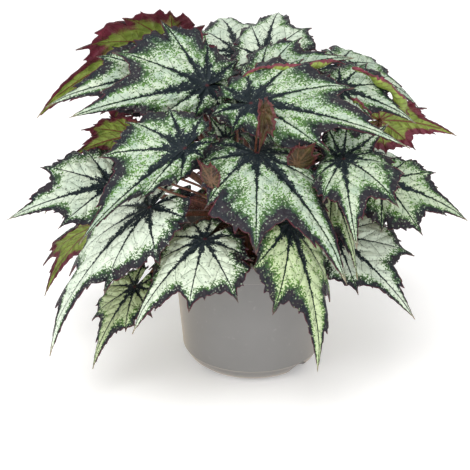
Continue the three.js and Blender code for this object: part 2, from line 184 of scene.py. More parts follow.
def placement(leaf):
    """The three directions at the joint and the length of the main rib once it is laid flat."""
    chord = leaf["point"] - leaf["joint"]
    along = chord.normalized()
    up = Vector((0, 0, 1))
    up = (up - along * up.dot(along)).normalized()
    up.rotate(Matrix.Rotation(math.radians(leaf["roll"]), 3, along))
    half = math.radians(leaf["droop"]) / 2
    rib = along * math.cos(half) + up * math.sin(half)
    normal = up * math.cos(half) - along * math.sin(half)
    length = chord.length * half / math.sin(half)
    return {"rib": rib, "normal": normal, "across": normal.cross(rib), "length": length}


def blade_places(leaf, angles, reaches):
    """Where points of the plan, given by angle and reach, lie in space, in millimetres."""
    place = leaf["place"]
    turn = np.radians(angles)
    cosine, sine = np.cos(turn), np.sin(turn)
    ahead, behind = np.maximum(cosine, 0), np.maximum(-cosine, 0)
    side = np.where(sine > 0, *leaf["sides"])
    width = np.where(sine > 0, *leaf["width"])
    droop = leaf["droop"] * ahead ** 2 + side * SIDE_DROOP * sine ** 2 + BACK_DROOP * behind ** 2
    bend = np.radians(droop) / place["length"]
    run = reaches * place["length"]
    out = np.sin(bend * run) / bend
    wave = np.sin(np.radians(angles * WAVES + leaf["seed"] * 70))
    drop = (1 - np.cos(bend * run)) / bend - WAVE_HEIGHT * place["length"] * reaches ** 2 * wave
    return (
        np.array(leaf["joint"])
        + np.outer(out * cosine, np.array(place["rib"]))
        + np.outer(out * sine * width * leaf["hand"], np.array(place["across"]))
        - np.outer(drop, np.array(place["normal"]))
    )


for leaf in LEAVES:
    leaf["place"] = placement(leaf)
print("blade lengths", [round(leaf["place"]["length"]) for leaf in LEAVES])

# %% [markdown]
# A blade could be cut from a flat sheet and bent by a modifier, but the veins must fan out from the joint
# and the edge must be fine. A grid whose columns are the directions round the joint and whose rows are
# steps from the joint to the edge gives both: its last row is the edge. The columns stand where the edge
# needs them, close together where it is long, and every four of them swell into one blunt tooth.

# %% columns and rows of a blade's grid
COLUMNS = {"seen": 220, "back": 180, "shoot": 100}
ROWS = {"seen": 28, "back": 24, "shoot": 14}
LAST_SEEN_LEAF = 25
TOOTH = 0.015
TOOTH_SHAPE = (0.0, 0.8, 1.0, 0.5)
FINE_STEP = 0.25


def column_angles(seed, count):
    """Angles that cut the edge into even steps, with one on every tip and in every valley."""
    points = edge_points(seed)[0]
    fine = np.arange(-SINUS, SINUS + 0.01, FINE_STEP)
    reach = reach_at(points, fine)
    x, y = reach * np.cos(np.radians(fine)), reach * np.sin(np.radians(fine))
    run = np.concatenate([[0], np.cumsum(np.hypot(np.diff(x), np.diff(y)))])
    angles = np.interp(np.linspace(0, run[-1], count), run, fine)
    turns = np.flatnonzero(np.diff(np.sign(np.diff(reach))) != 0) + 1
    for turn in fine[turns]:
        angles[1 + np.argmin(np.abs(angles[1:-1] - turn))] = turn
    return np.sort(angles)


def edge_reaches(seed, angles):
    """How far the edge reaches along each angle with its teeth. The tips of its points stand out too."""
    reach = reach_at(edge_points(seed)[0], angles)
    crest = np.concatenate([[False], (reach[1:-1] > reach[:-2]) & (reach[1:-1] > reach[2:]), [False]])
    steps = len(TOOTH_SHAPE)
    shape = np.array([TOOTH_SHAPE[i % steps] for i in range(len(angles))])
    depth = np.array([0.4 + 1.2 * noise(seed, 100 + i // steps) for i in range(len(angles))])
    return reach + np.where(crest, TOOTH * 0.7, TOOTH * shape * depth - TOOTH * 0.4)


demo_angles = column_angles(1, COLUMNS["seen"])
print("columns from", demo_angles[0], "to", demo_angles[-1])

# %% [markdown]
# On the real leaf the veins lie in grooves and the skin swells up between them like a quilt, the edge is
# ruffled and each point hooks down. All of that is worked out on the plan: for every grid point, the main
# vein that it belongs to, how far along it and how far beside it the point lies, and how far it is from
# the edge. Three of these values are kept on the mesh, because the markings follow them too.

# %% values on the plan
SIDE_VEIN_STEP = 0.115
SIDE_VEIN_SLANT = 0.95
GROOVE_DEPTH, GROOVE_WIDTH = 0.9, 2.4
SWELL_HEIGHT, SWELL_START = 1.2, 6
RUFFLE_HEIGHT, RUFFLES = 0.013, 15
HOOK_DEPTH, HOOK_WIDTH = 0.15, 7


def flat(angles, reaches):
    turn = np.radians(angles)
    return np.stack([reaches * np.cos(turn), reaches * np.sin(turn)], axis=-1)


def edge_distance(places, edge):
    """The shortest way from each place on the plan to the edge line."""
    best = np.full(len(places), np.inf)
    for start, end in zip(edge[:-1], edge[1:]):
        line = end - start
        share = np.clip((places - start) @ line / max(line @ line, 1e-12), 0, 1)
        off = places - start - share[:, None] * line
        best = np.minimum(best, np.hypot(off[:, 0], off[:, 1]))
    return best


def beside_vein(places, own_vein, veins):
    """Along and beside its own main vein, for each place on the plan."""
    turn = np.radians(np.array([angle for angle, reach in veins]))[own_vein]
    along = places[:, 0] * np.cos(turn) + places[:, 1] * np.sin(turn)
    beside = places[:, 1] * np.cos(turn) - places[:, 0] * np.sin(turn)
    return along, beside


def side_vein_phase(along, beside):
    """Counts the side veins; it is whole where a side vein runs."""
    return (along - np.abs(beside) * SIDE_VEIN_SLANT) / SIDE_VEIN_STEP + 0.5 * (beside < 0)


def relief(leaf, values):
    """How far the skin stands above the smooth bend, in millimetres."""
    size, share, along = leaf["place"]["length"], values["share"], values["along"]
    beside_mm = np.abs(values["beside"]) * size
    depth = GROOVE_DEPTH * np.clip(1 - values["share_of_vein"], 0, 1)
    groove = -depth * np.exp(-(beside_mm / GROOVE_WIDTH) ** 2)
    swell = SWELL_HEIGHT * np.abs(np.sin(np.pi * side_vein_phase(along, values["beside"])))
    swell = swell * np.clip(beside_mm / SWELL_START, 0, 1) * (1 - share ** 6)
    ruffle = np.sin(np.radians(values["turn"] * RUFFLES + leaf["seed"] * 50))
    ruffle = RUFFLE_HEIGHT * size * share ** 4 * ruffle
    hook = -HOOK_DEPTH * size * np.clip(share - 0.8, 0, 1) * np.exp(-(beside_mm / HOOK_WIDTH) ** 2)
    return np.clip(share * 6, 0, 1) * (groove + swell) + ruffle + hook


print("side veins every", SIDE_VEIN_STEP, "of a blade's length")

# %% [markdown]
# A blade starts as an operator's grid. Its points are moved to their places, the row that meets at the
# joint is merged, and a solidify operator closes the blade at its real thickness. What the operator adds,
# the underside and the rim, gets the second finish. The rim's edges are kept sharp, so that light breaks
# there as on a cut leaf.

# %% the values at a blade's grid points
def leaf_values(leaf, columns, rows, spots):
    """Everything that a blade's grid points need: their place in space and on the plan."""
    seed, place = leaf["seed"], leaf["place"]
    veins = edge_points(seed)[1]
    column = np.rint((spots[:, 0] + 1) / 2 * (columns - 1)).astype(int)
    row = np.rint((spots[:, 1] + 1) / 2 * rows) / rows
    angles = column_angles(seed, columns)
    edges = edge_reaches(seed, angles)
    turn, share = angles[column], row ** 0.9
    on_plan = flat(turn, share * edges[column])
    own_vein = np.argmin(np.abs(turn[:, None] - np.array([angle for angle, reach in veins])), axis=1)
    along, beside = beside_vein(on_plan, own_vein, veins)
    reaches = np.array([reach for angle, reach in veins])[own_vein]
    return {
        "turn": turn, "share": share, "reach": share * edges[column], "plan": on_plan * place["length"],
        "along": along, "beside": beside, "row": row, "veins": veins,
        "to_edge": edge_distance(on_plan, flat(angles, edges)) * place["length"],
        "share_of_vein": along / reaches,
    }


def upward(leaf, values):
    """The skin's normals, on the side that faces the light."""
    turn, reach = values["turn"], values["reach"]
    off_joint = np.maximum(reach, 0.02)
    out = blade_places(leaf, turn, reach + 0.01) - blade_places(leaf, turn, reach)
    around = blade_places(leaf, turn + 1, off_joint) - blade_places(leaf, turn - 1, off_joint)
    normals = np.cross(out, around) * leaf["hand"]
    return normals / np.linalg.norm(normals, axis=1)[:, None]


print("angles of a seen blade's grid", COLUMNS["seen"], "and steps to its edge", ROWS["seen"])

# %% unrolling a blade and closing it
BLADE_THICKNESS = 0.8


def rib_map(bm, values):
    """Unrolls each face beside its own main vein: millimetres along it and beside it."""
    turns = np.radians([angle for angle, reach in values["veins"]])
    ribs = bm.loops.layers.uv.new("ribs")
    turn = np.radians(values["turn"])
    plan = values["plan"].tolist()
    for face in bm.faces:
        middle = sum(turn[vert.index] for vert in face.verts) / len(face.verts)
        vein = turns[int(np.argmin(np.abs(turns - middle)))]
        cosine, sine = math.cos(vein), math.sin(vein)
        for loop in face.loops:
            x, y = plan[loop.vert.index]
            loop[ribs].uv = (x * cosine + y * sine, y * cosine - x * sine)


def thicken(bm):
    """Closes the skin into a blade. Where it is creased, the operator would draw its underside out."""
    number = bm.verts.layers.int.new("number")
    for i, vert in enumerate(bm.verts):
        vert[number] = i
    skin = [(vert.co.copy(), vert.normal.copy()) for vert in bm.verts]
    made = bmesh.ops.solidify(bm, geom=bm.faces[:], thickness=BLADE_THICKNESS * MM)
    for part in made["geom"]:
        if isinstance(part, bmesh.types.BMFace):
            part.material_index = 1
        if isinstance(part, bmesh.types.BMVert):
            place, normal = skin[part[number]]
            part.co = place - normal * BLADE_THICKNESS * MM
    bm.verts.layers.int.remove(number)
    bm.normal_update()


print("blade thickness", BLADE_THICKNESS, "mm")

# %% making one blade
SHARP_ON_BLADE = 0.9
RIB_SPREAD = 14
MERGE_DISTANCE = 1e-6


def smooth(bm, sharp=None):
    """Shades a piece smooth, apart from the edges with a sharper angle, if one is given."""
    for face in bm.faces:
        face.smooth = True
    if sharp:
        for edge in bm.edges:
            edge.smooth = edge.calc_face_angle(0) < sharp


def make_blade(leaf):
    kind = "seen" if leaf["seed"] <= LAST_SEEN_LEAF else "back"
    if leaf["seed"] > len(LEAVES):
        kind = "shoot"
    columns, rows = COLUMNS[kind], ROWS[kind]
    bm = bmesh.new()
    bmesh.ops.create_grid(bm, x_segments=columns - 1, y_segments=rows, size=1)
    bm.verts.index_update()
    values = leaf_values(leaf, columns, rows, np.array([vert.co.xy[:] for vert in bm.verts]))
    normals = upward(leaf, values)
    lift = relief(leaf, values) + BLADE_THICKNESS / 2
    skin = blade_places(leaf, values["turn"], values["reach"]) + normals * lift[:, None]
    edge_layer = bm.verts.layers.float_vector.new("edge")
    leaf_layer = bm.verts.layers.float_vector.new("leaf")
    rib_layer = bm.verts.layers.float.new("rib")
    marking = Vector((leaf["place"]["length"], leaf["green"], leaf["young"]))
    for i, vert in enumerate(bm.verts):
        vert.co = skin[i] * MM
        vert[edge_layer] = (values["to_edge"][i], values["share_of_vein"][i], values["share"][i])
        vert[leaf_layer] = marking
        vert[rib_layer] = math.exp(-(values["turn"][i] / RIB_SPREAD) ** 2)
    rib_map(bm, values)
    joint = [vert for vert, row in zip(bm.verts, values["row"]) if row == 0]
    bmesh.ops.remove_doubles(bm, verts=joint, dist=MERGE_DISTANCE)
    bm.normal_update()
    facing = sum((face.normal for face in bm.faces), Vector()).dot(leaf["place"]["normal"])
    if facing < 0:
        bmesh.ops.reverse_faces(bm, faces=bm.faces)
        bm.normal_update()
    thicken(bm)
    smooth(bm, SHARP_ON_BLADE)
    return bm


print("edges of a blade are sharp from", round(math.degrees(SHARP_ON_BLADE)), "degrees")

# %% [markdown]
# Finishes are built from nodes. A number that nodes work out is kept in a small class with the signs of
# arithmetic, so that a finish reads as sums and each sign adds its node. Further helpers add any node, turn
# a number into a soft step and blend two colours. Colours are written as a screen shows them, 0 to 255.

# %% numbers that nodes work out
class Number:
    """A number, colour or place that a node gives."""

    def __init__(self, socket):
        self.socket, self.tree = socket, socket.id_data

    def __add__(self, other):
        return calc("ADD", self, other)

    def __sub__(self, other):
        return calc("SUBTRACT", self, other)

    def __rsub__(self, other):
        return calc("SUBTRACT", other, self)

    def __mul__(self, other):
        return calc("MULTIPLY", self, other)

    def __truediv__(self, other):
        return calc("DIVIDE", self, other)


def feed(socket, value):
    """Links a number to an input, or writes a plain value on it."""
    if isinstance(value, Number):
        value.tree.links.new(value.socket, socket)
    else:
        socket.default_value = value


def feed_all(made, inputs):
    for name, value in inputs.items():
        feed(made.inputs[name], value)


def node(tree, kind, inputs=None, **settings):
    """Adds a node with its settings, then feeds its inputs."""
    made = tree.nodes.new(kind)
    for name, value in settings.items():
        setattr(made, name, value)
    feed_all(made, inputs or {})
    return made


def calc(operation, *values):
    tree = next(value.tree for value in values if isinstance(value, Number))
    made = node(tree, "ShaderNodeMath", operation=operation)
    for socket, value in zip(made.inputs, values):
        feed(socket, value)
    return Number(made.outputs[0])


print("signs that add a node: + - * /")


# %% colours, steps and grain
def screen(red, green, blue):
    """A colour as a screen shows it, turned into the one that light follows."""
    def linear(part):
        value = part / 255
        return value / 12.92 if value < 0.04 else ((value + 0.055) / 1.055) ** 2.4
    return (linear(red), linear(green), linear(blue), 1)


def soft_step(value, low, high):
    """0 below low, 1 above high, and a soft slope between."""
    inputs = {"Value": value, "From Min": low, "From Max": high}
    made = node(value.tree, "ShaderNodeMapRange", inputs, interpolation_type="SMOOTHSTEP")
    return Number(made.outputs["Result"])


def below(value, limit, softness):
    """1 where value is under limit, 0 where it is over, soft by softness."""
    return 1 - soft_step(value - limit, -softness, softness)


def blend(share, first, second):
    made = node(share.tree, "ShaderNodeMix", {"Factor": share}, data_type="RGBA")
    feed(made.inputs[6], first)
    feed(made.inputs[7], second)
    return Number(made.outputs[2])


def grain(place, size, detail=2.0):
    """Cloudy noise from minus a half to a half, with patches of about size millimetres."""
    inputs = {"Vector": place, "Scale": 1 / size, "Detail": detail}
    return Number(node(place.tree, "ShaderNodeTexNoise", inputs).outputs["Fac"]) - 0.5


print("silver as the shader reads it", [round(v, 2) for v in screen(224, 238, 215)])

# %% starting a finish
BUMP_DEPTH = 0.001


def new_finish(name, roughness=None):
    """An empty material with its main shader, and the place on the object in millimetres."""
    material = bpy.data.materials.new(name)
    material.use_nodes = True
    tree = material.node_tree
    shader = tree.nodes["Principled BSDF"]
    if roughness:
        feed(shader.inputs["Roughness"], roughness)
    coords = Number(node(tree, "ShaderNodeTexCoord").outputs["Object"])
    place = node(tree, "ShaderNodeVectorMath", {"Vector": coords, "Scale": 1 / MM}, operation="SCALE")
    return material, shader, Number(place.outputs[0])


def add_bump(shader, height, strength=1.0):
    inputs = {"Height": height, "Strength": strength, "Distance": BUMP_DEPTH}
    bump = node(shader.id_data, "ShaderNodeBump", inputs)
    feed(shader.inputs["Normal"], Number(bump.outputs["Normal"]))


print("a height of 1 stands", BUMP_DEPTH / MM, "mm above the skin")

# %% [markdown]
# The markings of a rex begonia are one system: a dark star that spreads from the joint along the main
# veins, a silver field between, and a dark margin, with green showing through in speckles where silver
# meets dark. The top and the underside share its veins and margin, so it is one node group with masks as
# its outputs. Painting it by image would blur and repeat; masks worked out from the vein and edge values
# stay sharp and differ on each leaf.

# %% the marking group: veins
NET_SCALE = 0.14


def veins_and_relief(place, s, t, size, along, wobble, grit):
    """Masks of the main and the side veins, from the way along the main vein (s) and beside it (t)."""
    beside = calc("ABSOLUTE", t)
    main = below(grit * 0.5 + beside, (1 - along) * 0.5 + 0.14, 0.2)
    phase = (s - beside * SIDE_VEIN_SLANT) / (size * SIDE_VEIN_STEP)
    phase = phase + calc("LESS_THAN", t, 0.0) * 0.5 + wobble * 0.35
    off_mm = calc("PINGPONG", phase, 0.5) * (size * (SIDE_VEIN_STEP * 0.72))
    side = below(grit * 0.5 + off_mm, (1 - along) * 0.22 + 0.08, 0.16)
    swell = soft_step(off_mm, 0.0, 3.5) * soft_step(beside, 0.3, 4.0)
    net = node(place.tree, "ShaderNodeTexVoronoi", {"Vector": place, "Scale": NET_SCALE},
               feature="DISTANCE_TO_EDGE")
    off_net = Number(net.outputs["Distance"]) / NET_SCALE + grit * 0.3
    side = calc("MAXIMUM", side, below(off_net, 0.12, 0.22) * 0.6)
    swell = soft_step(off_net, 0.0, 2.0) * 0.45 + swell
    return beside, main, side, off_mm, swell


print("cells of the net of small veins about", round(1 / NET_SCALE), "mm wide")

# %% the marking group: the star
FADE_BASE = 2.718


def star_width(s, size, rib, green, young, off_mm):
    """Half the width of the dark arm beside a main vein: bold beside the middle rib, thin elsewhere."""
    fall = calc("POWER", FADE_BASE, s / size * (rib * 2.8 - 11.0))
    bold = (rib * 0.175 + 0.085) * (young * -0.6 + 1.0) * (green * 0.7 + 1.05)
    feather = below(off_mm, 1.2, 1.2) * 0.7 + 0.65
    return size * feather * (bold * fall)


print("the star fades along a vein by powers of", FADE_BASE)

# %% the marking group: speckled borders
SPECK_SOFTNESS = 0.12


def speckled(share, cell):
    """A share of cover from 0 to 1, broken into specks by the random value of each cell."""
    return soft_step(share - cell, -SPECK_SOFTNESS, SPECK_SOFTNESS)


def star_margin_silver(beside, edge, size, arm, rib, green, wobble, cell):
    """The dark star, the dark margin and the silver that is left between them."""
    from_arm = beside + wobble * 0.9 * arm - arm
    inner = arm * -0.7
    star_share = 1 - soft_step(from_arm, inner, arm * 0.95 + 0.45)
    star = speckled(star_share * 0.98, cell)
    half = (edge + beside) * ((1 - rib) * (green * -2.4 + 1.7) + 1.0)
    usual = size * (wobble * 0.13 + (green * 0.09 + 0.032))
    past = edge - calc("MINIMUM", usual, half * 0.26)
    band = calc("MINIMUM", size * (green * 0.11 + 0.05), half * 0.22)
    margin_share = 1 - soft_step(past, band * -0.3, band * 0.55)
    margin = speckled(margin_share * 0.97, cell)
    from_margin = soft_step(past, 0.0, band * 1.7)
    halo = arm * (green * 2.4 + 1.0) + (green * 2.4 + 0.1)
    from_star = soft_step(from_arm, inner, halo)
    patchy = green * (wobble * 1.8 + 1.0) * soft_step(beside, 1.0, 6.0)
    cover = from_margin * from_star * (1 - patchy)
    silver = speckled(cover * 1.1 + 0.03, 1 - cell)
    return star, margin, silver, from_margin, from_star


print("borders break into specks over", 2 * SPECK_SOFTNESS, "of their cover")

# %% the marking group itself
SPECK_SCALE = 1.25


def marking_group():
    """The node group that turns a blade's own values into the masks of its markings."""
    group = bpy.data.node_groups.new("rex begonia marking", "ShaderNodeTree")
    for name in ("Ribs", "Edge", "Leaf", "Place"):
        group.interface.new_socket(name, in_out="INPUT", socket_type="NodeSocketVector")
    group.interface.new_socket("Middle Rib", in_out="INPUT", socket_type="NodeSocketFloat")
    given = group.nodes.new("NodeGroupInput").outputs

    def parts(name):
        split = node(group, "ShaderNodeSeparateXYZ", {"Vector": Number(given[name])})
        return [Number(socket) for socket in split.outputs]

    (s, t, _), (edge, along, _), (size, green, young) = parts("Ribs"), parts("Edge"), parts("Leaf")
    place, rib = Number(given["Place"]), Number(given["Middle Rib"])
    wobble, grit = grain(place, 9.0), grain(place, 1.1, 1.0)
    cells = node(group, "ShaderNodeTexVoronoi", {"Vector": place, "Scale": SPECK_SCALE})
    split = node(group, "ShaderNodeSeparateColor", {"Color": Number(cells.outputs["Color"])})
    cell = Number(split.outputs[0])
    beside, main, side, off_mm, swell = veins_and_relief(place, s, t, size, along, wobble, grit)
    away = calc("SQRT", s * s + t * t)
    disc = size * (green * 0.13 + 0.095) - away
    arm = calc("MAXIMUM", star_width(s, size, rib, green, young, off_mm), disc * 1.4)
    star, margin, silver, from_margin, from_star = star_margin_silver(
        beside, edge, size, arm, rib, green, wobble, cell)
    made = {
        "Vein": main, "Side Vein": side, "Star": star, "Margin": margin, "Silver": silver,
        "From Margin": from_margin, "From Star": from_star, "Green": green, "Young": young,
        "Cloud": wobble, "Grit": grit,
        "Tip": soft_step(along, 0.9, 1.0) * below(beside, 3.0, 1.0) * (rib * 0.8 + 0.2),
        "Joint": below(wobble * 3.0 + away, 1.1, 1.1),
        "Relief": swell * 0.55 - (main * 0.5 + side * 0.22) + grit * 0.16,
        "Rim": below(wobble * 1.6 + edge, 0.35, 0.35),
    }
    for name in made:
        group.interface.new_socket(name, in_out="OUTPUT", socket_type="NodeSocketFloat")
    result = group.nodes.new("NodeGroupOutput")
    for name, value in made.items():
        feed(result.inputs[name], value)
    return group


MARKING = marking_group()
print("marking group nodes", len(MARKING.nodes))


def marking(place):
    """Places the group in a finish and feeds it the blade's own values."""
    tree = place.tree
    made = node(tree, "ShaderNodeGroup", {}, node_tree=MARKING)
    feed(made.inputs["Ribs"], Number(node(tree, "ShaderNodeUVMap", uv_map="ribs").outputs["UV"]))
    for name, attribute, output in (("Edge", "edge", "Vector"), ("Leaf", "leaf", "Vector"),
                                    ("Middle Rib", "rib", "Fac")):
        source = node(tree, "ShaderNodeAttribute", attribute_name=attribute)
        feed(made.inputs[name], Number(source.outputs[output]))
    feed(made.inputs["Place"], place)
    return {socket.name: Number(socket) for socket in made.outputs}


def laid_over(colour, mark, layers):
    """Lays flat colours over a colour, each where its mask is and by its share."""
    for mask, share, tone in layers:
        colour = blend(mark[mask] * share, colour, screen(*tone))
    return colour


# %% [markdown]
# The top skin, laid down as a painter would: the silver field first, its green speckles, the fine side
# veins, the dark star, the dark margin, the pale tip and the red spot at the joint. The dark skin is
# smoother than the silver, which is full of tiny air cells, so roughness follows the same masks.

# %% the top of a blade
def leaf_top():
    material, shader, place = new_finish("silver leaf top")
    mark = marking(place)
    cloudy = mark["Cloud"] * 1.8 + 0.5
    light = blend(mark["Grit"] * 0.9 + cloudy, screen(150, 172, 154), screen(200, 211, 188))
    pale = calc("MAXIMUM", mark["Green"] * -2.6 + 0.62, 0.0)
    light = blend(pale, light, screen(222, 232, 214))
    light = blend(mark["Young"], light, screen(190, 205, 146))
    bright = blend(mark["Young"], screen(92, 136, 54), screen(104, 152, 36))
    clear = calc("POWER", mark["From Margin"] * mark["From Star"], 0.7)
    green = blend(clear, screen(22, 50, 36), bright)
    colour = blend(mark["Silver"], green, light)
    colour = laid_over(colour, mark, [("Side Vein", 0.68, (56, 78, 58)), ("Vein", 0.75, (52, 54, 50))])
    colour = blend(mark["Star"], colour, blend(cloudy, screen(14, 26, 30), screen(36, 44, 50)))
    colour = blend(mark["Margin"], colour, blend(cloudy, screen(16, 30, 36), screen(52, 44, 50)))
    colour = laid_over(colour, mark, [("Rim", 0.6, (98, 36, 50)), ("Tip", 0.7, (176, 166, 140)),
                                      ("Joint", 0.7, (88, 30, 34))])
    dark = calc("MAXIMUM", mark["Star"], mark["Margin"])
    feed_all(shader, {"Base Color": colour, "Specular IOR Level": dark * -0.2 + 0.34,
                      "Roughness": dark * -0.1 + 0.5})
    add_bump(shader, mark["Relief"])
    return material


LEAF_TOP = leaf_top()
print("finish", LEAF_TOP.name)

# %% [markdown]
# The underside shows no silver. It is lime green with a burgundy margin, and its veins stand out, red to
# brown, instead of lying in grooves. The same masks serve, with the margin read wider and the relief
# turned over.

# %% the underside of a blade
def leaf_under():
    material, shader, place = new_finish("lime leaf underside", 0.5)
    mark = marking(place)
    cloudy = mark["Cloud"] * 2.0 + 0.5
    lime = blend(cloudy, screen(112, 134, 46), screen(158, 178, 78))
    burgundy = blend(cloudy, screen(84, 24, 42), screen(130, 46, 66))
    flush = mark["Grit"] * 0.5 + mark["From Margin"]
    colour = blend(soft_step(flush, 0.08, 0.68), burgundy, lime)
    colour = laid_over(colour, mark, [("Side Vein", 0.55, (104, 60, 40)), ("Vein", 0.9, (122, 54, 44)),
                                      ("Joint", 1.0, (150, 50, 46))])
    feed(shader.inputs["Base Color"], colour)
    add_bump(shader, mark["Relief"] * -1.0)
    return material


LEAF_UNDER = leaf_under()
print("finish", LEAF_UNDER.name)

# %% [markdown]
# Every piece is made an object in the same way. Its mesh gets the finishes, it rides on the part's one
# body, and it stands in for its solid where it has one.

# %% the leaves
def mesh_of(bm, name, materials=()):
    mesh = bpy.data.meshes.new(name)
    for material in materials:
        mesh.materials.append(material)
    bm.to_mesh(mesh)
    bm.free()
    return mesh


def linked(data, name):
    """Puts a mesh or a curve into the scene as an object."""
    thing = bpy.data.objects.new(name, data)
    bpy.context.scene.collection.objects.link(thing)
    return thing


def finish_piece(bm, name, materials, node_name=None):
    piece = linked(mesh_of(bm, name, materials), name)
    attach(piece, "root")
    if node_name:
        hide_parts(node_name)
    return piece


faces = 0
for leaf in LEAVES:
    blade = finish_piece(make_blade(leaf), "blade_%02d" % leaf["seed"], [LEAF_TOP, LEAF_UNDER],
                         "leaf_%02d" % leaf["seed"])
    faces += len(blade.data.polygons)
print("blades", len(LEAVES), "faces", faces)

# %% [markdown]
# Between the grown leaves stand small ones, made as any blade is. The first three are read from the
# photograph: still folded along their middle rib, so that only the underside shows, brown to olive, with
# pale ridges where the veins are and a magenta edge. The other four are open and wear the grown finish with
# a dark, green marking, which is partly painted shade. They aren't in the photograph; they close gaps
# through which the floor would show.

# %% the small leaves
def young_finish():
    material, shader, place = new_finish("folded young leaf", 0.45)
    mark = marking(place)
    colour = blend(mark["Cloud"] * 3.0 + 0.5, screen(48, 28, 22), screen(82, 72, 32))
    colour = laid_over(colour, mark, [("Side Vein", 0.4, (120, 94, 62)), ("Vein", 0.4, (134, 96, 70))])
    edging = below(mark["Grit"] * 0.6 + mark["From Margin"], 0.2, 0.2)
    colour = blend(edging * 0.7, colour, screen(96, 24, 44))
    feed(shader.inputs["Base Color"], colour)
    add_bump(shader, mark["Relief"])
    return material


YOUNG = young_finish()
SHOOTS = [
    ((28, -50, 168), (40, -64, 189), (20, -53), (-72, -72), (0.8, 0.8), 1),
    ((6, -54, 205), (4, -50, 173), (20, 180), (-84, -84), (0.45, 0.45), 1),
    ((-27, -67, 162), (-37, -66, 178), (20, 93), (-84, -84), (0.8, 0.8), 1),
    ((-29, 6, 202), (-5, 9, 197), (12, 68), (20, 20), (1.0, 1.0), 1),
    ((58, -43, 167), (88, -34, 189), (12, 61), (12, 12), (1.4, 1.4), 1),
    ((-18, 0, 165), (-31, 0, 184), (12, -75), (20, 20), (1.0, 1.0), 1),
    ((-8, -5, 190), (-18, -7, 206), (12, -85), (20, 20), (1.0, 1.0), 1),
]
FOLDED_SHOOTS = 3
# The open small leaves are marked dark and green: partly their own marking, partly painted shade for the
# gaps they fill.
SHOOT_GREEN_AND_SHADE = 0.45
for number, row in enumerate(SHOOTS, 1):
    seed = len(LEAVES) + number
    folded = number <= FOLDED_SHOOTS
    shoot = leaf_of(seed, row, 0.0 if folded else SHOOT_GREEN_AND_SHADE, 1.0 if folded else 0.0)
    shoot["place"] = placement(shoot)
    worn = [YOUNG, YOUNG] if folded else [LEAF_TOP, LEAF_UNDER]
    young_leaf = finish_piece(make_blade(shoot), "young_leaf_%02d" % seed, worn)
    print(young_leaf.name, len(young_leaf.data.polygons), "faces")

# %% [markdown]
# Some edges roll up and back over their blade, so that a band of the lime underside shows with its
# burgundy rim. Each roll is a grid bent round a line of places, which gives the same values as a blade
# does, so that it can wear the finish of the underside. Its free edge is ragged and both ends run out.

# %% the rolled edges
ROLLS = [
    (3.4, [(-7, -6, 211), (0, -6, 216), (8, -7, 218), (19, -6, 220), (31, -10, 219), (41, -4, 220),
           (51, 2, 220), (62, 8, 215)]),
    (4.6, [(66, 9, 213), (76, 8, 210), (85, 6, 206), (93, 5, 199), (99, 8, 191), (103, 13, 182),
           (108, 18, 176)]),
    (2.6, [(64, -12, 199), (68, -14, 198), (73, -16, 195), (78, -18, 190)]),
]
ROLL_THICKNESS = 0.7
ROLL_START, ROLL_SPAN = -15, 165
ROLL_TEETH = 50
ROLL_COLUMNS, ROLL_ROWS = 90, 14
ROLL_END = 0.004
ROLL_VALUES = {"ribs": (20, 3), "edge": (0.5, 0.9), "leaf": (34, 0, 0)}
print("rolled edges", len(ROLLS))


# %% bending a rolled edge
def roll_values(places, radius, seed, share, turn):
    """Where a point of the roll lies, and how far it is from the free edge, in millimetres."""
    run = np.linspace(0, 1, len(places))
    fits = [np.polyfit(run, np.array(places, float)[:, i], min(5, len(places) - 1)) for i in range(3)]
    centre = Vector([np.polyval(fit, share) for fit in fits])
    ahead = Vector([np.polyval(np.polyder(fit), share) for fit in fits]).normalized()
    up = Vector((0, -0.25, 0.97))
    up = (up - ahead * up.dot(ahead)).normalized()
    front = ahead.cross(up)
    teeth = ROLL_TEETH * abs((share * len(places) * 1.6 + 0.3 * math.sin(share * 40)) % 1 - 0.5)
    span = ROLL_SPAN + teeth + 26 * math.sin(share * 11 + seed)
    bend = math.radians(span * turn + ROLL_START)
    thick = radius * (0.8 + 0.32 * math.sin(share * 17 + seed)) * math.sin(math.pi * share) ** 0.5
    place = centre + (front * math.sin(bend) - up * math.cos(bend)) * thick
    return place, (1 - turn) * math.radians(span) * thick


def make_roll(radius, places, seed):
    bm = bmesh.new()
    bmesh.ops.create_grid(bm, x_segments=ROLL_COLUMNS, y_segments=ROLL_ROWS, size=1)
    edge_layer = bm.verts.layers.float_vector.new("edge")
    leaf_layer = bm.verts.layers.float_vector.new("leaf")
    ribs = bm.loops.layers.uv.new("ribs")
    length = (Vector(places[-1]) - Vector(places[0])).length
    along, beside = ROLL_VALUES["ribs"]
    for face in bm.faces:
        for loop in face.loops:
            spot = loop.vert.co
            loop[ribs].uv = (along + (spot.x + 1) / 2 * length, beside + (spot.y + 1) * radius)
    for vert in bm.verts:
        share, turn = ROLL_END + (1 - 2 * ROLL_END) * (vert.co.x + 1) / 2, (vert.co.y + 1) / 2
        place, to_edge = roll_values(places, radius, seed, share, turn)
        vert.co = place * MM
        vert[edge_layer] = (to_edge, *ROLL_VALUES["edge"])
        vert[leaf_layer] = ROLL_VALUES["leaf"]
    bm.normal_update()
    bmesh.ops.recalc_face_normals(bm, faces=bm.faces)
    bmesh.ops.solidify(bm, geom=bm.faces[:], thickness=ROLL_THICKNESS * MM)
    smooth(bm)
    return bm


for number, (radius, places) in enumerate(ROLLS, 1):
    rolled = finish_piece(make_roll(radius, places, number), "rolled_edge_%02d" % number,
                          [LEAF_UNDER])
    print(rolled.name, len(rolled.data.polygons), "faces")

# %% [markdown]
# Petioles are round stalks that rise from the rhizome and arch over to their blades. Each follows one
# Bezier curve, the same one as its solid. Ten thin stalks have no solid: three that show between the leaves
# at the left, and one behind each small leaf. A curve object with a round bevel makes all of them at once;
# it is then turned into a mesh and joined with the rhizome, a squat knobbly stem turned from a profile.

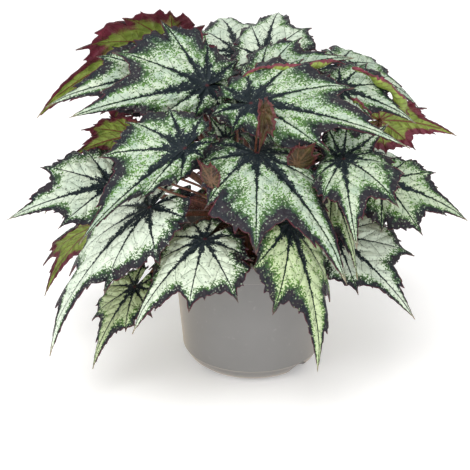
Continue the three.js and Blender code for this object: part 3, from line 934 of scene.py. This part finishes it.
# %% the routes of the petioles
PETIOLE_RADIUS = 2.3
PETIOLE_TIP_RADIUS = 1.7
RHIZOME_RADIUS = 15
RHIZOME_TOP = 106
SOIL_TOP = 86
RHIZOME_DEPTH = 12
ROOT_OUT, ROOT_DEPTH = 8, 10
ARCH_REACH, ARCH_RISE, ARCH_LIFT = 0.3, 0.45, 16
TIP_GAP, TIP_HANDLE = 0.4, 0.18


def root_of(joint):
    """The way out from the middle of the plant to a joint, and the root of its stalk on the rhizome."""
    heading = math.atan2(joint.y, joint.x)
    out = Vector((math.cos(heading), math.sin(heading), 0))
    return out, out * ROOT_OUT + Vector((0, 0, RHIZOME_TOP - ROOT_DEPTH))


def petiole_route(leaf):
    out, root = root_of(leaf["joint"])
    normal, bow = leaf["place"]["normal"], Vector(BOWS.get(leaf["seed"], (0, 0, 0)))
    end = leaf["joint"] - normal * (BLADE_THICKNESS / 2 + TIP_GAP)
    rise = max(0, end.z - root.z) * ARCH_RISE + ARCH_LIFT
    lower = out * math.hypot(end.x, end.y) * ARCH_REACH + Vector((0, 0, root.z + rise)) + bow
    upper = end - normal * TIP_HANDLE * (end - root).length
    return root, lower, upper, end


def along_route(route, share):
    """The place and the direction at a share of the way along a route."""
    root, lower, upper, end = route
    back = 1 - share
    place = root * back ** 3 + lower * 3 * back ** 2 * share + upper * 3 * back * share ** 2
    place += end * share ** 3
    heading = (lower - root) * back ** 2 + (upper - lower) * 2 * back * share + (end - upper) * share ** 2
    return place, heading.normalized()


SHOOT_RISE = 116
SHOOT_HANDLE = Vector((-8, 8, -14))


def shoot_route(joint):
    """A small leaf's thin stalk, which comes up behind it."""
    out, root = root_of(joint)
    lower = out * joint.xy.length * ARCH_REACH + Vector((0, 0, SHOOT_RISE))
    return root, lower, joint + SHOOT_HANDLE, joint


ROUTES = [petiole_route(leaf) for leaf in LEAVES]
THIN_RADIUS = 0.8
THIN_ROUTES = [
    (Vector((-2, -10, 100)), Vector((-20, -45, 150 - drop)), Vector((-38, -57, 154 - drop)),
     Vector((-66, -58, 168 - drop)))
    for drop in (0, 6, 12)
]
THIN_ROUTES += [shoot_route(Vector(row[0])) for row in SHOOTS]
print("petiole routes", len(ROUTES), "and thin ones", len(THIN_ROUTES))

# %% the petioles
def petiole_curve():
    curve = bpy.data.curves.new("petioles", "CURVE")
    curve.dimensions = "3D"
    curve.bevel_depth = PETIOLE_RADIUS * MM
    curve.bevel_resolution = 3
    curve.resolution_u = 22
    curve.use_fill_caps = True
    for root, lower, upper, end in ROUTES + THIN_ROUTES:
        spline = curve.splines.new("BEZIER")
        spline.bezier_points.add(1)
        first, last = spline.bezier_points
        first.co, first.handle_left, first.handle_right = root * MM, (root * 2 - lower) * MM, lower * MM
        last.co, last.handle_left, last.handle_right = end * MM, upper * MM, (end * 2 - upper) * MM
        last.radius = PETIOLE_TIP_RADIUS / PETIOLE_RADIUS
    for spline in curve.splines[-len(THIN_ROUTES):]:
        for point in spline.bezier_points:
            point.radius = THIN_RADIUS / PETIOLE_RADIUS
    return curve


def applied(carrier):
    """The mesh of an object with its bevel or modifiers applied; the object itself is removed."""
    bpy.context.view_layer.update()
    mesh = bpy.data.meshes.new_from_object(carrier.evaluated_get(bpy.context.evaluated_depsgraph_get()))
    bpy.data.objects.remove(carrier)
    return mesh


print("petioles run from", PETIOLE_RADIUS, "to", PETIOLE_TIP_RADIUS, "mm in radius")


# %% the rhizome
def turned(bm, profile, steps):
    """Spins a profile of (radius, height) in millimetres once round the upright axis."""
    verts = [bm.verts.new((radius * MM, 0, height * MM)) for radius, height in profile]
    line = [bm.edges.new(pair) for pair in zip(verts[:-1], verts[1:])]
    bmesh.ops.spin(bm, geom=verts + line, cent=(0, 0, 0), axis=(0, 0, 1), angle=2 * math.pi,
                   steps=steps, use_merge=True)
    bmesh.ops.remove_doubles(bm, verts=bm.verts, dist=MERGE_DISTANCE)
    bmesh.ops.recalc_face_normals(bm, faces=bm.faces)


def rhizome():
    """The squat knobbly stem that the petioles grow from."""
    bm = bmesh.new()
    foot = SOIL_TOP - RHIZOME_DEPTH
    profile = [(0, foot), (RHIZOME_RADIUS - 4, foot), (RHIZOME_RADIUS, foot + 3)]
    profile += [(RHIZOME_RADIUS + 1.6 * math.sin(i * math.pi / 8), SOIL_TOP - 6 + 2 * i) for i in range(8)]
    profile += [(RHIZOME_RADIUS - 2 - 1.8 * i, RHIZOME_TOP - 6 + 1.1 * i) for i in range(6)]
    profile += [(0, RHIZOME_TOP)]
    turned(bm, profile, 40)
    for vert in bm.verts:
        turn = math.atan2(vert.co.y, vert.co.x)
        knob = 0.8 * math.sin(7 * turn) * math.sin(vert.co.z * 620 + 2 * turn)
        out = Vector((math.cos(turn), math.sin(turn), 0)) * knob * MM
        if vert.co.xy.length > 6 * MM and vert.co.z > (SOIL_TOP - 4) * MM:
            vert.co += out
    return bm


crown_bm = rhizome()
crown_bm.from_mesh(applied(linked(petiole_curve(), "petioles")))
smooth(crown_bm)
print("crown faces", len(crown_bm.faces))

# %% [markdown]
# The stalks are red-brown mottled with olive, streaked lengthwise with paler red-brown; these pale streaks
# are partly painted highlight. They are covered with pale bristly hairs that catch the light as a soft
# fringe. Hair curves can't leave Blender as solids, so each hair is a three-sided cone, a millimetre or two
# long, set by a seeded draw.

# %% finish of the stalks and their hairs
STREAK_AND_HIGHLIGHT_STRETCH = 0.12


def stalk_finish():
    material, shader, place = new_finish("red-brown stalk", 0.42)
    streak_and_highlight_place = node(place.tree, "ShaderNodeVectorMath", {"Vector": place}, operation="MULTIPLY")
    feed(streak_and_highlight_place.inputs[1], (1.0, 1.0, STREAK_AND_HIGHLIGHT_STRETCH))
    fine, broad = grain(Number(streak_and_highlight_place.outputs[0]), 1.2, 3.0), grain(place, 22.0, 1.0)
    colour = blend(broad * 3.0 + 0.5, screen(66, 28, 26), screen(98, 66, 40))
    # The pale streaks laid over the stalk colour are partly real streaks and partly painted highlight.
    feed(shader.inputs["Base Color"], blend(fine * 3.2 + 0.25, colour, screen(130, 76, 60)))
    add_bump(shader, fine, 0.6)
    return material


def hair_finish():
    material, shader, place = new_finish("pale stalk hair", 0.6)
    pink = grain(place, 12.0, 1.0) * 2.0 + 0.5
    feed(shader.inputs["Base Color"], blend(pink, screen(206, 176, 164), screen(228, 216, 204)))
    return material


STALK = stalk_finish()
HAIR = hair_finish()
finish_piece(crown_bm, "crown_of_petioles", [STALK], "crown")
print("finishes", STALK.name, HAIR.name)

# %% the hairs
HAIRS_PER_MM = 2.2
HAIR_TALL = (1.1, 2.4)
HAIR_ROOT_RADIUS, HAIR_TIP_RADIUS = 0.07, 0.012
HAIRY_SHARE = (0.08, 0.97)
draw = np.random.default_rng(7)


def hairs_of(route):
    """The hairs of one petiole, as one mesh."""
    bm = bmesh.new()
    length = (route[3] - route[0]).length
    for i in range(int(length * HAIRS_PER_MM)):
        share = draw.uniform(*HAIRY_SHARE)
        place, heading = along_route(route, share)
        side = heading.orthogonal().normalized()
        side.rotate(Matrix.Rotation(draw.uniform(0, 2 * math.pi), 3, heading))
        lean = (side + heading * draw.uniform(-0.35, 0.35)).normalized()
        radius = PETIOLE_RADIUS + (PETIOLE_TIP_RADIUS - PETIOLE_RADIUS) * share
        tall = draw.uniform(*HAIR_TALL)
        middle = place + side * (radius - 0.1) + lean * tall / 2
        where = Matrix.Translation(middle * MM) @ lean.to_track_quat("Z", "Y").to_matrix().to_4x4()
        bmesh.ops.create_cone(bm, cap_ends=True, segments=3, radius1=HAIR_ROOT_RADIUS * MM,
                              radius2=HAIR_TIP_RADIUS * MM, depth=tall * MM, matrix=where)
    return mesh_of(bm, "hairs")


hair_bm = bmesh.new()
for route in ROUTES:
    hair_bm.from_mesh(hairs_of(route))
print("hair faces", len(hair_bm.faces))
finish_piece(hair_bm, "stalk_hairs", [HAIR])

# %% [markdown]
# The pot is injection moulded in one warm grey plastic: a tapered wall, a rim band that stands proud, a
# rounded foot, and a base that stands on its middle and on a notched ring. Its profile is spun. The four
# small notches, the drain holes and the larger recess that the photograph shows at the front right are cut
# by a boolean modifier that is applied at once.

# %% the pot's profile
POT_HEIGHT, RIM_RADIUS, RIM_HEIGHT = 98, 60, 14
WALL_RADIUS_TOP, WALL_RADIUS_FOOT, WALL = 55.8, 48.8, 1.6
FOOT_ROUNDING, CHANNEL_HEIGHT, MIDDLE_RADIUS, FLOOR = 13, 5, 22, 3
NOTCHES, NOTCH_WIDTH, NOTCH_HEIGHT, DRAIN_RADIUS = 4, 20, 5, 3
RIM_FOOT = POT_HEIGHT - RIM_HEIGHT
FOOT_OUTER = WALL_RADIUS_FOOT - FOOT_ROUNDING


def wall_radius(height):
    return WALL_RADIUS_FOOT + (WALL_RADIUS_TOP - WALL_RADIUS_FOOT) * height / RIM_FOOT


def arc(cx, cz, radius, start, end, steps):
    turns = [math.radians(start + (end - start) * i / steps) for i in range(steps + 1)]
    return [(cx + radius * math.cos(turn), cz + radius * math.sin(turn)) for turn in turns]


def pot_profile():
    """Half the pot's section as radius and height: under the base, up the outside and down the inside."""
    inside = CHANNEL_HEIGHT + FLOOR
    wall = [(wall_radius(z), z) for z in (16, 40, 65, RIM_FOOT - 1)]
    band = [(wall_radius(10.9) - 0.3, 10.9), (wall_radius(11.1) + 0.05, 11.1)]
    outside = arc(FOOT_OUTER, FOOT_ROUNDING, FOOT_ROUNDING, -90, -14, 12) + band + wall
    rim = [(WALL_RADIUS_TOP, RIM_FOOT - 0.4), (WALL_RADIUS_TOP + 0.4, RIM_FOOT)]
    rim += [(RIM_RADIUS - 1.2, RIM_FOOT)]
    rim += arc(RIM_RADIUS - 1.2, RIM_FOOT + 0.6, 0.6, -90, 0, 4)
    rim += arc(RIM_RADIUS - 1.0, POT_HEIGHT - 1.0, 1.0, 0, 90, 6)
    rim += arc(RIM_RADIUS - 1.4, POT_HEIGHT - 0.6, 0.6, 90, 180, 4)
    inner = [(WALL_RADIUS_TOP - 0.2, RIM_FOOT + 1.6), (WALL_RADIUS_TOP - WALL, RIM_FOOT - 1),
             (wall_radius(inside + 8) - WALL, inside + 8), (WALL_RADIUS_FOOT - 6, inside + 1.6),
             (FOOT_OUTER, inside), (MIDDLE_RADIUS + 1, inside), (MIDDLE_RADIUS - 1, FLOOR), (0, FLOOR)]
    base = [(0, 0), (MIDDLE_RADIUS - 0.5, 0), (MIDDLE_RADIUS, 0.4), (MIDDLE_RADIUS + 1.4, CHANNEL_HEIGHT),
            (FOOT_OUTER - 4, CHANNEL_HEIGHT), (FOOT_OUTER - 3.4, 0.4), (FOOT_OUTER - 3, 0)]
    return base + outside + rim + inner


print("pot profile points", len(pot_profile()))

# %% cutting the notches, the recess and the drain holes
NOTCH_OUT, NOTCH_DEPTH = FOOT_OUTER + 3.5, 16
DRAIN_OUT, DRAIN_DEPTH = (MIDDLE_RADIUS + FOOT_OUTER - 2.6) / 2, 8
RECESS_OUT, RECESS_DEPTH, RECESS_HEIGHT = 50, 14, 10
SHARP_ON_POT = 0.6


def add_cylinder(bm, radius, depth, segments, where):
    bmesh.ops.create_cone(bm, cap_ends=True, segments=segments, radius1=radius * MM, radius2=radius * MM,
                          depth=depth * MM, matrix=where)


def add_hollow(bm, spin, out, height, depth):
    """A cylinder that lies across the pot's foot, flattened to a height."""
    lie = Matrix.Translation((out * MM, 0, 0)) @ Matrix.Rotation(math.pi / 2, 4, "Y")
    lie = spin @ lie @ Matrix.Diagonal((height / (NOTCH_WIDTH / 2), 1, 1, 1))
    add_cylinder(bm, NOTCH_WIDTH / 2, depth, 36, lie)


def cutters():
    bm = bmesh.new()
    for i in range(NOTCHES):
        spin = Matrix.Rotation(math.radians(45 + 360 * i / NOTCHES), 4, "Z")
        add_hollow(bm, spin, NOTCH_OUT, NOTCH_HEIGHT, NOTCH_DEPTH)
        stand = spin @ Matrix.Translation((DRAIN_OUT * MM, 0, (CHANNEL_HEIGHT + FLOOR / 2) * MM))
        add_cylinder(bm, DRAIN_RADIUS, DRAIN_DEPTH, 24, stand)
    front_right = Matrix.Rotation(math.radians(-45), 4, "Z")
    add_hollow(bm, front_right, RECESS_OUT, RECESS_HEIGHT, RECESS_DEPTH)
    bmesh.ops.recalc_face_normals(bm, faces=bm.faces)
    return linked(mesh_of(bm, "cutters"), "cutters")


def make_pot():
    bm = bmesh.new()
    turned(bm, pot_profile(), 144)
    body, tools = linked(mesh_of(bm, "pot body"), "pot body"), cutters()
    cut = body.modifiers.new("cut", "BOOLEAN")
    cut.operation, cut.solver, cut.use_self, cut.object = "DIFFERENCE", "EXACT", True, tools
    made = bmesh.new()
    made.from_mesh(applied(body))
    bpy.data.objects.remove(tools)
    smooth(made, SHARP_ON_POT)
    return made


pot_bm = make_pot()
print("pot faces", len(pot_bm.faces))

# %% [markdown]
# Plastic pots look plain but are not flat in colour: the moulding leaves a very fine satin grain, faint
# sink marks and handling scuffs that change the gloss more than the colour. A strong warm-tinted sheen is a
# painted reflection: it gives the pot's sides the warm pale edges that the surrounding light lends them.

# %% the pot's finish
def pot_finish():
    material, shader, place = new_finish("warm grey pot plastic")
    cloud, fine = grain(place, 30.0, 3.0), grain(place, 0.5)
    scuffs = soft_step(grain(place, 4.0, 6.0), 0.12, 0.3)
    colour = blend(cloud * 1.6 + 0.5, screen(117, 116, 115), screen(125, 124, 123))
    colour = blend(scuffs * 0.25, colour, screen(166, 164, 160))
    # The warm-tinted sheen paints the warm reflection along the pot's sides.
    feed_all(shader, {"Base Color": colour, "Roughness": scuffs * 0.12 + (cloud * 0.12 + 0.44),
                      "Sheen Weight": 0.85, "Sheen Roughness": 0.4, "Sheen Tint": screen(244, 226, 204)})
    add_bump(shader, fine * 0.03)
    return material


POT = pot_finish()
finish_piece(pot_bm, "nursery_pot", [POT], "pot")
print("finish", POT.name)

# %% [markdown]
# Potting soil is a crumb of peat and bark with a few white perlite grains. A spun plug with a rough top
# fills the pot, and crumbs of three finishes, squashed icospheres set by a seeded draw, lie on it.

# %% the soil
SOIL_SWELL = 1.6


def soil_height(radius, turn):
    """The height of the soil's gently uneven top."""
    swell = math.cos(3 * turn + 1) + math.cos(5 * turn + radius / 9)
    return SOIL_TOP + SOIL_SWELL * 0.5 * swell * (radius / 50) - 0.0012 * radius * radius


def make_soil():
    gap = 0.3
    bottom = CHANNEL_HEIGHT + FLOOR + gap
    hole = RHIZOME_RADIUS + gap
    edge = WALL_RADIUS_TOP - WALL - 1.4
    profile = [(0, FLOOR + gap), (MIDDLE_RADIUS - 1.4, FLOOR + gap), (MIDDLE_RADIUS + 0.8, bottom),
               (FOOT_OUTER - gap, bottom), (WALL_RADIUS_FOOT - 6.6, bottom + 2),
               (wall_radius(bottom + 8) - WALL - 0.6, bottom + 8.6), (edge, SOIL_TOP - 6)]
    rings = 22
    top = [(edge + (hole - edge) * i / rings, SOIL_TOP) for i in range(rings + 1)]
    profile += top + [(hole, SOIL_TOP - RHIZOME_DEPTH - gap), (0, SOIL_TOP - RHIZOME_DEPTH - gap)]
    bm = bmesh.new()
    turned(bm, profile, 96)
    for vert in bm.verts:
        radius, turn = vert.co.xy.length / MM, math.atan2(vert.co.y, vert.co.x)
        if vert.co.z > (SOIL_TOP - 0.1) * MM:
            rough = 0.9 * noise(int(radius * 1.3), int(turn * 14)) - 0.9
            vert.co.z = (soil_height(radius, turn) + rough) * MM
    smooth(bm)
    return bm


print("soil reaches", SOIL_TOP, "mm above the pot's foot")

# %% the crumbs on the soil
CRUMBS = 420
CRUMB_REACH = 49.5
CRUMB_SIZE = (0.7, 2.4)
PERLITE_EVERY = 14


def make_crumbs():
    bm = bmesh.new()
    for i in range(CRUMBS):
        radius = math.sqrt(draw.uniform((RHIZOME_RADIUS + 4) ** 2, CRUMB_REACH ** 2))
        turn = draw.uniform(-math.pi, math.pi)
        size = draw.uniform(*CRUMB_SIZE)
        squash = Matrix.Diagonal((size, size * draw.uniform(0.5, 0.9), size * draw.uniform(0.4, 0.7), 1))
        place = Vector((radius * math.cos(turn), radius * math.sin(turn), soil_height(radius, turn) - 0.3))
        spin = Matrix.Rotation(draw.uniform(0, 6.28), 4, "Z")
        spin = spin @ Matrix.Rotation(draw.uniform(-0.6, 0.6), 4, "X")
        before = len(bm.faces)
        where = Matrix.Translation(place * MM) @ spin @ squash @ Matrix.Scale(MM, 4)
        bmesh.ops.create_icosphere(bm, subdivisions=1, radius=1, matrix=where)
        bm.faces.ensure_lookup_table()
        kind = 2 if i % PERLITE_EVERY == 0 else i % 2
        for face in bm.faces[before:]:
            face.material_index = kind
    return bm


print("crumbs", CRUMBS, "and one in", PERLITE_EVERY, "is perlite")


# %% the soil's finishes
def soil_finish(name, deep, pale, grain_size):
    material, shader, place = new_finish(name, 0.9)
    cloud = grain(place, grain_size, 6.0)
    feed(shader.inputs["Base Color"], blend(cloud * 2.5 + 0.5, screen(*deep), screen(*pale)))
    add_bump(shader, cloud)
    return material


PEAT = soil_finish("dark peat", (30, 22, 17), (66, 50, 38), 1.6)
BARK = soil_finish("brown bark", (58, 38, 26), (98, 68, 46), 1.0)
PERLITE = soil_finish("white perlite", (196, 194, 188), (228, 226, 220), 0.8)
soil = finish_piece(make_soil(), "potting_soil", [PEAT], "soil")
crumbs = finish_piece(make_crumbs(), "soil_crumbs", [PEAT, BARK, PERLITE])
print("soil faces", len(soil.data.polygons), "crumb faces", len(crumbs.data.polygons))

# %% [markdown]
# The photograph looks down on the plant by 25 degrees from about a metre away through a long lens. The
# light is a plain white studio: a broad soft light above and to the front, a weaker one from the left, a
# pale floor and a white surround that fills the shadows.

# %% camera, floor and lights
VIEW_PIXELS = 470
FOCAL_PIXELS = 1425
EYE = Vector((-12.2, -906.3, 515.6))
TARGET = Vector((-12.2, 0, 93))
LIGHTS = [
    ("top light", (-150, -500, 1300), (0, 0, 120), 800, 9, (1, 1, 0.99)),
    ("left light", (-1100, -900, 700), (0, 0, 120), 800, 3, (1, 1, 1)),
    ("front light", (-12, -1500, 260), (-12, 0, 40), 1200, 5, (1, 1, 1)),
]
FLOOR_GLOW, SURROUND_GLOW = 0.2, 0.85
WHITE = (1, 1, 1, 1)


def aim(piece, place, target):
    piece.location = place * MM
    piece.rotation_euler = (target - place).to_track_quat("-Z", "Y").to_euler()
    bpy.context.scene.collection.objects.link(piece)


camera_data = bpy.data.cameras.new("photo camera")
camera_data.sensor_width = 36
camera_data.lens = 36 * FOCAL_PIXELS / VIEW_PIXELS
camera = bpy.data.objects.new("photo camera", camera_data)
aim(camera, EYE, TARGET)
bpy.context.scene.camera = camera


for name, place, target, size, energy, colour in LIGHTS:
    light = bpy.data.lights.new(name, "AREA")
    light.shape, light.size, light.energy, light.color = "SQUARE", size * MM, energy, colour
    aim(bpy.data.objects.new(name, light), Vector(place), Vector(target))

floor_bm = bmesh.new()
bmesh.ops.create_grid(floor_bm, x_segments=2, y_segments=2, size=6)
floor_material, floor_shader = new_finish("pale studio floor", 0.9)[:2]
feed_all(floor_shader, {"Base Color": screen(248, 247, 247), "Emission Color": WHITE,
                        "Emission Strength": FLOOR_GLOW})
floor = linked(mesh_of(floor_bm, "studio floor", [floor_material]), "studio_floor")

world = bpy.data.worlds.new("white surround")
world.use_nodes = True
feed_all(world.node_tree.nodes["Background"], {"Color": WHITE, "Strength": SURROUND_GLOW})
bpy.context.scene.world = world
bpy.context.scene.view_settings.view_transform = "Standard"
print("camera lens", round(camera_data.lens, 1), "mm")
